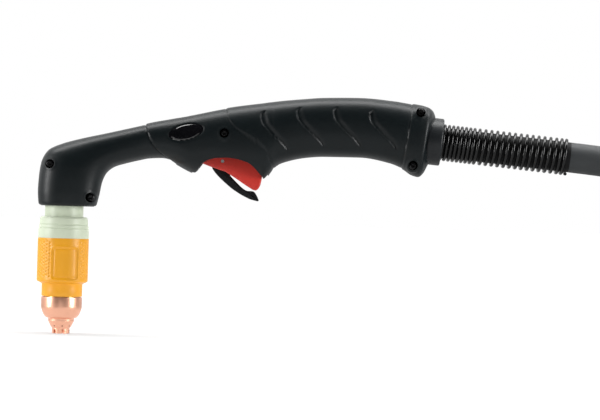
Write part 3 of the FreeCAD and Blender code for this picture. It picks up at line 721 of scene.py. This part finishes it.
def build_sleeve():
    """Yellow sleeve with columns of dimples and a plain panel in its front."""
    columns = 360 if FINE else 180
    outer = [(11.0, 23.0), (12.2, 23.0), (12.45, 23.1), (12.6, 23.4), (12.6, 27.0), (12.6, 30.4),
             (12.75, 30.9), (15.3, 32.1), (15.65, 32.4), (15.8, 32.9)]
    barrel = [(SLEEVE_RADIUS, z) for z in np.linspace(33.2, 58.6, 78 if FINE else 40)]
    inner = [(15.6, 59.0), (14.0, 59.0), (14.0, 33.0), (11.0, 33.0)]
    profile = outer + barrel + inner
    grid = lathe_points(profile, segments=columns)
    x, y, z = grid[:, :, 0], grid[:, :, 1], grid[:, :, 2]
    turn = np.degrees(np.arctan2(x, -y))
    on_barrel = np.zeros(x.shape)
    on_barrel[len(outer):len(outer) + len(barrel)] = 1.0
    depth = np.zeros(x.shape)
    for column, degrees in enumerate(DIMPLE_COLUMNS):
        across = (turn - degrees) * math.radians(1) * SLEEVE_RADIUS
        for row in range(DIMPLE_ROWS):
            level = DIMPLE_START + DIMPLE_PITCH * row + (DIMPLE_STAGGER if column % 2 else 0.0)
            depth += DIMPLE_DEPTH * np.exp(-(np.hypot(across, z - level) / DIMPLE_RADIUS) ** 2)
    across = np.abs((turn - SLEEVE_PANEL) * math.radians(1) * SLEEVE_RADIUS)
    tall = np.abs(z - PANEL_LEVEL)
    outside = np.hypot(np.maximum(across - 6.4, 0), np.maximum(tall - 7.9, 0))
    depth += 0.30 * (1 - fade(outside, 1.6, 2.3))
    depth += 0.22 * np.exp(-((outside - 0.8) / 0.35) ** 2)
    depth -= 0.20 * np.exp(-((outside - 2.5) / 0.4) ** 2)
    out = np.stack([x, y, np.zeros(x.shape)], 2)
    out /= np.linalg.norm(out, axis=2, keepdims=True)
    grid -= out * (depth * on_barrel)[:, :, None]
    add_object("sleeve_yellow", grid.reshape(-1, 3), quads(len(profile), columns, True, True), "cap",
               replaces=("retaining_cap_sleeve",), slot="yellow_plastic", material=SLEEVE_YELLOW)


def build_collar():
    """Pale collar above the sleeve, with two fine grooves round it."""
    profile = [(13.1, 59.0), (15.75, 59.0), (15.62, 64.9), (15.25, 65.1), (15.25, 65.4), (15.5, 65.6),
               (15.3, 67.1), (14.95, 67.3), (14.95, 67.6), (15.15, 67.8), (14.8, 71.2), (14.0, 72.3),
               (12.3, 72.3), (12.3, 66.0), (13.1, 66.0)]
    lathe("collar_pale", profile, "cap", segments=160, soft=0.22, replaces=("retaining_cap_collar",),
          slot="body_plastic", material=BODY_PALE)


# ---- trigger and safety lever -----------------------------------------------------------------------

TRIGGER_HALF = 7.0
LEVER_HALF = 2.3
LEVER_SLOT_HALF = 3.5
LEVER_SWEEP = 9.4                 # radius of the room that the lever's boss has in the trigger
TRIGGER_OUTLINE = [(83.3, 113.4), (83.4, 110.2), (84.8, 107.8), (89.5, 106.1), (95.8, 104.1), (99.0, 103.3),
                   (105.2, 99.5), (111.6, 95.3), (116.6, 92.3), (118.4, 92.0), (119.6, 92.9), (120.9, 95.0),
                   (122.0, 100.0), (122.0, 106.0), (121.0, 110.5), (118.0, 113.3), (104.0, 114.4),
                   (90.0, 115.8), (86.4, 116.3), (84.2, 115.4)]
LEVER_ROOM = [(80, 96), (120, 80), (111.5, 95.5), (106.6, 107.0), (95, 109.0), (86.2, 109.4), (80, 109.4)]
LEVER_OUTLINE = [(90.5, 105.5), (93.4, 101.6), (97.8, 97.4), (103.6, 92.6), (109.3, 89.1), (114.9, 86.4),
                 (119.9, 85.3), (120.4, 86.0), (119.2, 88.7), (117.3, 91.6), (112.6, 91.6), (109.8, 93.4),
                 (105.3, 97.6), (101.6, 101.4), (101.0, 106.0), (100.5, 111.5), (97.4, 113.5), (93.4, 112.0),
                 (91.6, 108.8)]


def slab(name, outline, half, corner, edge, body, **ties):
    """Plate in the x-z plane with rounded corners and rounded edges."""
    points, faces = prism([tuple(p) for p in softened(outline, corner, 4)], -half, half)
    piece = add_object(name, points, faces, body, **ties)
    modifier = piece.modifiers.new("round", "BEVEL")
    modifier.width = edge * MM
    modifier.segments = 4
    modifier.limit_method = "ANGLE"
    modifier.angle_limit = math.radians(50)
    return piece


def build_trigger():
    """Red trigger, with a slot for the safety lever and holes for its pins."""
    hinge, pin = joint_point("trigger_pull"), joint_point("safety_flip")
    piece = slab("trigger_red", TRIGGER_OUTLINE, TRIGGER_HALF, 2.5, 0.9, "trigger", replaces=("trigger",),
                 slot="trigger_plastic", material=TRIGGER_RED)
    cut(piece, [bar(pin - ACROSS * LEVER_SLOT_HALF, pin + ACROSS * LEVER_SLOT_HALF, LEVER_SWEEP, 64)])
    cut(piece, [prism(LEVER_ROOM, -LEVER_SLOT_HALF, LEVER_SLOT_HALF)])
    cut(piece, [bar(hinge - ACROSS * 20, hinge + ACROSS * 20, 1.25),
                bar(pin - ACROSS * 20, pin + ACROSS * 20, 1.05)])


def build_lever():
    """Black safety lever, with a hole for its pin."""
    pin = joint_point("safety_flip")
    piece = slab("lever_black", LEVER_OUTLINE, LEVER_HALF, 2.0, 0.6, "safety_lever",
                 replaces=("safety_lever",), slot="lever_plastic", material=LEVER_BLACK)
    cut(piece, [bar(pin - ACROSS * 9, pin + ACROSS * 9, 1.08)])


# ---- rear end ----------------------------------------------------------------------------------------

SPRING_RADIUS = 10.42
SPRING_WIRE = 1.05
SPRING_SPAN = (2.4, 80.9)
SPRING_PITCHES = [(8, 2.6), (14, 3.6), (2, 2.8)]      # number of turns, and their relative pitch


def build_rear_collar():
    """Collar between the handle and the strain relief's spring."""
    profile = [(9.5, -12.0), (12.4, -12.0), (12.4, -8.4), (13.4, -7.6), (14.4, -6.6), (14.6, -5.6),
               (14.6, 2.1), (14.1, 2.7), (11.6, 2.7), (11.6, 0.6), (9.5, 0.6)]
    lathe("relief_collar", profile, "handle", REAR_CENTRE, REAR_AXIS, 144, 0.3,
          replaces=("strain_relief_collar",), slot="collar_plastic", material=COLLAR_BLACK)


def sweep(path, radius, sides):
    """Points and faces of a closed round tube along a path of points."""
    path = np.asarray(path, float)
    tangent = np.gradient(path, axis=0)
    tangent /= np.linalg.norm(tangent, axis=1, keepdims=True)
    side = np.cross(tangent, REAR_AXIS)
    side /= np.linalg.norm(side, axis=1, keepdims=True)
    up = np.cross(side, tangent)
    angles = even_angles(sides)
    ring = (path[:, None] + radius * (np.cos(angles)[None, :, None] * side[:, None]
                                      + np.sin(angles)[None, :, None] * up[:, None]))
    return ring.reshape(-1, 3), tube_faces(len(path), sides)


def build_spring():
    """Left-handed spring, close-wound near the handle and more open towards the lead."""
    steps = 60 if FINE else 36
    turns = [0.0]
    for count, pitch in SPRING_PITCHES:
        for _ in range(count):
            turns.append(turns[-1] + pitch)
    start, end = SPRING_SPAN
    turns = np.array(turns) * (end - start) / turns[-1] + start
    at = np.linspace(0, len(turns) - 1, (len(turns) - 1) * steps + 1)
    along = np.interp(at, np.arange(len(turns)), turns)
    angle = -2 * math.pi * at
    _, first, second = axes_round(REAR_AXIS)
    path = (REAR_CENTRE + along[:, None] * REAR_AXIS
            + SPRING_RADIUS * (np.cos(angle)[:, None] * first + np.sin(angle)[:, None] * second))
    points, faces = sweep(path, SPRING_WIRE, 12)
    add_object("relief_spring", points, faces, "handle", replaces=("strain_relief_spring",),
               slot="black_spring", material=SPRING_BLACK)


# ---- lead, coil and connector ------------------------------------------------------------------------

# The lead's route: straight out of the spring, round the coil, and over it to the plug.
RUN_ROUTE = [(312.1, 0, 118.32), (352, 0, 114.83), (400, 0, 105.6)]
TAIL_ROUTE = [(418, 18.1, 98), (480, 18.1, 101), (523.8, 61.9, 112), (525, 124.4, 127), (481.3, 170.9, 137.5),
              (421, 170.9, 137.5)]
PLUG_AXIS = (-1, 0, 0)
COIL_CENTRE = np.array([449.0, 92.9, 0.0])
COIL_LOW, COIL_HIGH = 10.55, 104.05
OUTER_TURN, INNER_TURN = 93.7, 74.75      # a little wider than the turns, which cut inside these points
OUTER_TURNS = 5
INNER_TURNS = 4.67
TURN_POINTS = 24
TIE_ANGLES = (-75, 45, 165)
STRAP_WIDTH, STRAP_THICK = 20.0, 1.2
STRAP_LOOP = [(63.6, 0.7), (103.2, 0.7), (103.2, 114.0), (63.6, 114.0)]      # radius and height
STRAP_CORNER = 7.0


def coil_point(turn, radius, height):
    """Control point of the coil, with its turns counted from the side nearest the handle's line."""
    angle = math.radians(-90) + 2 * math.pi * turn
    return COIL_CENTRE + (radius * math.cos(angle), radius * math.sin(angle), height)


def coil_points():
    """Outer column of turns down to the floor, a crossing underneath, then the inner column up again."""
    points = []
    pitch = (COIL_HIGH - COIL_LOW) / OUTER_TURNS
    for k in range(OUTER_TURNS * TURN_POINTS):
        turn = k / TURN_POINTS
        points.append(coil_point(turn, OUTER_TURN, COIL_HIGH - pitch * turn))
    crossing = TURN_POINTS // 4
    for k in range(crossing):
        radius = OUTER_TURN + (INNER_TURN - OUTER_TURN) * k / crossing
        points.append(coil_point(k / TURN_POINTS, radius, COIL_LOW))
    for k in range(int(INNER_TURNS * TURN_POINTS)):
        turn = k / TURN_POINTS
        points.append(coil_point(0.25 + turn, INNER_TURN, COIL_LOW + pitch * turn))
    return [tuple(p) for p in points]


def build_lead():
    """The lead as one curve, from the spring to the plug."""
    route = RUN_ROUTE + coil_points() + TAIL_ROUTE
    curve = bpy.data.curves.new("lead_cord", "CURVE")
    curve.dimensions = "3D"
    curve.bevel_depth = LEAD_RADIUS * MM
    curve.bevel_resolution = 8
    curve.resolution_u = 8
    curve.use_fill_caps = True
    spline = curve.splines.new("NURBS")
    spline.points.add(len(route) - 1)
    for point, place in zip(spline.points, route):
        point.co = (place[0] * MM, place[1] * MM, place[2] * MM, 1.0)
    spline.order_u = 3
    spline.use_endpoint_u = True
    curve.materials.append(LEAD_GREY)
    lead = bpy.data.objects.new("lead_cord", curve)
    bpy.context.scene.collection.objects.link(lead)
    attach(lead, "handle")
    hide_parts("lead_run", "lead_coil", "lead_tail")
    return lead


def build_straps():
    """Three webbing straps round the coil."""
    loop = [np.array(p) for p in softened(STRAP_LOOP, STRAP_CORNER, 8)]
    outward = []
    for before, after in zip([loop[-1]] + loop[:-1], loop[1:] + loop[:1]):
        along = (after - before) / np.linalg.norm(after - before)
        outward.append(np.array([along[1], -along[0]]))
    rows = []
    for thick in (-STRAP_THICK / 2, STRAP_THICK / 2):
        for across in (-STRAP_WIDTH / 2, STRAP_WIDTH / 2):
            rows += [(p[0] + out[0] * thick, across, max(p[1] + out[1] * thick, 0.05))
                     for p, out in zip(loop, outward)]
    count = len(loop)
    faces = quads(2, count, False, True) + quads(2, count, False, True, start=2 * count, flip=True)
    for i in range(count):
        j = (i + 1) % count
        faces.append((i, j, 2 * count + j, 2 * count + i))
        faces.append((count + i, 3 * count + i, 3 * count + j, count + j))
    return [add_object("coil_strap_%d" % number, turned_about_z(rows, degrees) + COIL_CENTRE, faces, "handle",
                       replaces=("coil_tie",), slot="strap_fabric", material=STRAP_BLACK)
            for number, degrees in enumerate(TIE_ANGLES)]


def fluted(name, profile, flutes, depth, band, **ties):
    """Turned piece on the connector's axis with flutes over a band of its length."""
    segments = flutes * 12
    grid = lathe_points([np.array(p) for p in softened(profile, 0.5)], TAIL_ROUTE[-1], PLUG_AXIS, segments)
    wave = np.clip(np.cos(even_angles(segments) * flutes), -0.2, 1.0)
    along = TAIL_ROUTE[-1][0] - grid[:, :, 0]
    out = (grid - np.array(TAIL_ROUTE[-1])) * np.array([0, 1, 1])
    reach = np.linalg.norm(out, axis=2, keepdims=True)
    mask = (fade(along, band[0], band[0] + 1.0) * (1 - fade(along, band[1] - 1.0, band[1])))[:, :, None]
    mask = mask * (reach > 19.2)
    grid = grid - out / np.maximum(reach, 0.01) * mask * depth * wave[None, :, None]
    return add_object(name, grid.reshape(-1, 3), quads(len(grid), segments, True, True), "handle", **ties)


def build_connector():
    """Quick-connect plug on the lead's end: ribbed boot, fluted shell and fluted nut."""
    end = TAIL_ROUTE[-1]
    boot = [(LEAD_RADIUS + 0.05, -34), (10.8, -34), (11.2, -31)]
    for k in range(6):
        start, radius = -30 + 4.6 * k, 11.2 + 1.2 * k
        boot += [(radius - 1.0, start + 0.2), (radius - 1.0, start + 1.4), (radius + 0.4, start + 1.8),
                 (radius + 0.9, start + 4.2)]
    boot += [(19.0, 0), (19.0, 6), (0.05, 6), (0.05, 0.05), (LEAD_RADIUS + 0.05, 0.05)]
    pieces = [lathe("plug_boot", boot, "handle", end, PLUG_AXIS, 96, 0.25, replaces=("connector_boot",),
                    slot="seal_rubber", material=SEAL_BLACK)]
    shell = [(0.05, 6), (21.0, 6), (22.5, 8)]
    shell += [(22.5, y) for y in range(10, 44, 2)]
    shell += [(22.5, 44), (19.5, 46), (19.5, 62), (16.5, 62), (16.5, 50), (0.05, 50)]
    pieces.append(fluted("plug_shell", shell, 16, 0.8, (12, 40), replaces=("connector_shell",),
                         slot="connector_plastic", material=PLUG_BLACK))
    nut = [(19.7, 46.4), (23.0, 46.4), (24.0, 47.6), (24.0, 50), (24.0, 54), (24.0, 58), (24.0, 60.0),
           (23.0, 61.2), (19.7, 61.2)]
    pieces.append(fluted("plug_nut", nut, 24, 0.7, (47, 60.6), replaces=("connector_nut",),
                         slot="connector_ring", material=PLUG_GREY))
    pins = frame["nodes"]["connector_pins"]
    pins.data.materials.clear()
    pins.data.materials.append(GOLD)
    return pieces + [pins]


def build_cord():
    """Lead with its straps and plug."""
    lead = build_lead()
    pieces = build_straps() + build_connector()


# ---- stage, lights and camera -------------------------------------------------------------------

CAMERA_DISTANCE = 2000.0
VIEW_WIDTH = 372.0
VIEW_CENTRE = (146.1, 80.8)
VIEW_ROLL = math.radians(1.7)


def build_camera():
    """Camera square to the torch's left side."""
    data = bpy.data.cameras.new("camera")
    data.sensor_width = 36.0
    data.lens = 36.0 * CAMERA_DISTANCE / VIEW_WIDTH
    data.clip_end = 50.0
    camera = bpy.data.objects.new("camera", data)
    bpy.context.scene.collection.objects.link(camera)
    right = Vector((math.cos(VIEW_ROLL), 0, math.sin(VIEW_ROLL)))
    up = Vector((-math.sin(VIEW_ROLL), 0, math.cos(VIEW_ROLL)))
    back = right.cross(up)
    rotation = Matrix((right, up, back)).transposed().to_4x4()
    place = Vector((VIEW_CENTRE[0], -CAMERA_DISTANCE, VIEW_CENTRE[1])) * MM
    camera.matrix_world = Matrix.Translation(place) @ rotation
    bpy.context.scene.camera = camera


def area_light(name, place, target, size, power):
    """Area light that is aimed at a point."""
    data = bpy.data.lights.new(name, "AREA")
    data.shape = "RECTANGLE"
    data.size, data.size_y = size
    data.energy = power
    light = bpy.data.objects.new(name, data)
    bpy.context.scene.collection.objects.link(light)
    light.location = place
    direction = Vector(target) - Vector(place)
    light.rotation_euler = direction.to_track_quat("-Z", "Y").to_euler()


def build_world():
    """World that the camera sees as white, but that sends no light from the camera's side."""
    world = bpy.data.worlds.new("studio")
    bpy.context.scene.world = world
    world.use_nodes = True
    nodes, links = world.node_tree.nodes, world.node_tree.links
    background = nodes["Background"]
    place = nodes.new("ShaderNodeTexCoord")
    split = nodes.new("ShaderNodeSeparateXYZ")
    links.new(place.outputs["Generated"], split.inputs["Vector"])
    front = nodes.new("ShaderNodeMapRange")
    front.interpolation_type = "SMOOTHSTEP"
    front.inputs["From Min"].default_value = -0.35
    front.inputs["From Max"].default_value = 0.35
    links.new(split.outputs["Y"], front.inputs["Value"])
    path = nodes.new("ShaderNodeLightPath")
    seen = nodes.new("ShaderNodeMix")
    links.new(path.outputs["Is Camera Ray"], seen.inputs["Factor"])
    links.new(front.outputs["Result"], seen.inputs["A"])
    seen.inputs["B"].default_value = 1.0
    links.new(seen.outputs["Result"], background.inputs["Strength"])
    background.inputs["Color"].default_value = (1, 1, 1, 1)


def build_floor():
    """White floor."""
    mesh = bpy.data.meshes.new("floor")
    reach = 14.0
    corners = [(-reach, -reach, 0), (reach, -reach, 0), (reach, reach, 0), (-reach, reach, 0)]
    mesh.from_pydata(corners, [], [(0, 1, 2, 3)])
    floor = bpy.data.objects.new("floor", mesh)
    bpy.context.scene.collection.objects.link(floor)
    mesh.materials.append(floor_paint())


def map_range(nodes, low, high):
    """Node that turns 0..1 into low..high."""
    made = nodes.new("ShaderNodeMapRange")
    made.inputs["To Min"].default_value = low
    made.inputs["To Max"].default_value = high
    return made


def floor_paint():
    """Glowing white sheet: it lights the tip from below, and to the camera it glows less near the tip,
    painted shade in which a faint shadow shows.
    """
    paint = bpy.data.materials.new("floor_white")
    paint.use_nodes = True
    nodes, links = paint.node_tree.nodes, paint.node_tree.links
    shader = nodes["Principled BSDF"]
    shader.inputs["Base Color"].default_value = (0.25, 0.25, 0.25, 1)
    shader.inputs["Roughness"].default_value = 0.7
    shader.inputs["Specular IOR Level"].default_value = 0.1
    shader.inputs["Emission Color"].default_value = (1, 1, 1, 1)
    place = nodes.new("ShaderNodeTexCoord")
    reach = nodes.new("ShaderNodeMapping")
    reach.inputs["Scale"].default_value = (6, 6, 6)
    links.new(place.outputs["Object"], reach.inputs["Vector"])
    near = nodes.new("ShaderNodeTexGradient")
    near.gradient_type = "SPHERICAL"
    links.new(reach.outputs["Vector"], near.inputs["Vector"])
    glow = map_range(nodes, 0.20, 0.85)
    links.new(near.outputs["Fac"], glow.inputs["Value"])
    # glow that the camera sees: dimmer near the tip, painted shade round the tip's shadow
    camera_glow_painted_shade = map_range(nodes, 0.93, 0.50)
    links.new(near.outputs["Fac"], camera_glow_painted_shade.inputs["Value"])
    path = nodes.new("ShaderNodeLightPath")
    seen = nodes.new("ShaderNodeMix")
    links.new(path.outputs["Is Camera Ray"], seen.inputs["Factor"])
    links.new(glow.outputs["Result"], seen.inputs["A"])
    links.new(camera_glow_painted_shade.outputs["Result"], seen.inputs["B"])
    links.new(seen.outputs["Result"], shader.inputs["Emission Strength"])
    return paint


# Name, place, target and size in metres, and power in watts.
LIGHTS = [
    ("top_box", (0.15, 0.12, 0.9), (0.15, 0.0, 0.1), (1.8, 0.35), 14),
    ("left_box", (-1.1, -0.42, 0.3), (0.0, 0.0, 0.06), (0.35, 0.7), 11.5),
    ("right_box", (1.1, -0.48, 0.3), (0.0, 0.0, 0.06), (0.3, 0.6), 9.5),
    ("tip_card", (0.0, -0.35, 0.008), (0.0, 0.0, 0.015), (0.16, 0.07), 0.05),
]


def build_stage():
    """World, floor, lights and colour settings."""
    build_world()
    build_floor()
    for light in LIGHTS:
        area_light(*light)
    scene = bpy.context.scene
    scene.view_settings.view_transform = "Standard"
    scene.view_settings.look = "None"


build_camera()
build_cord()
build_stage()
dress_nodes()
build_handle()
build_shield()
build_sleeve()
build_collar()
build_trigger()
build_lever()
build_rear_collar()
build_spring()
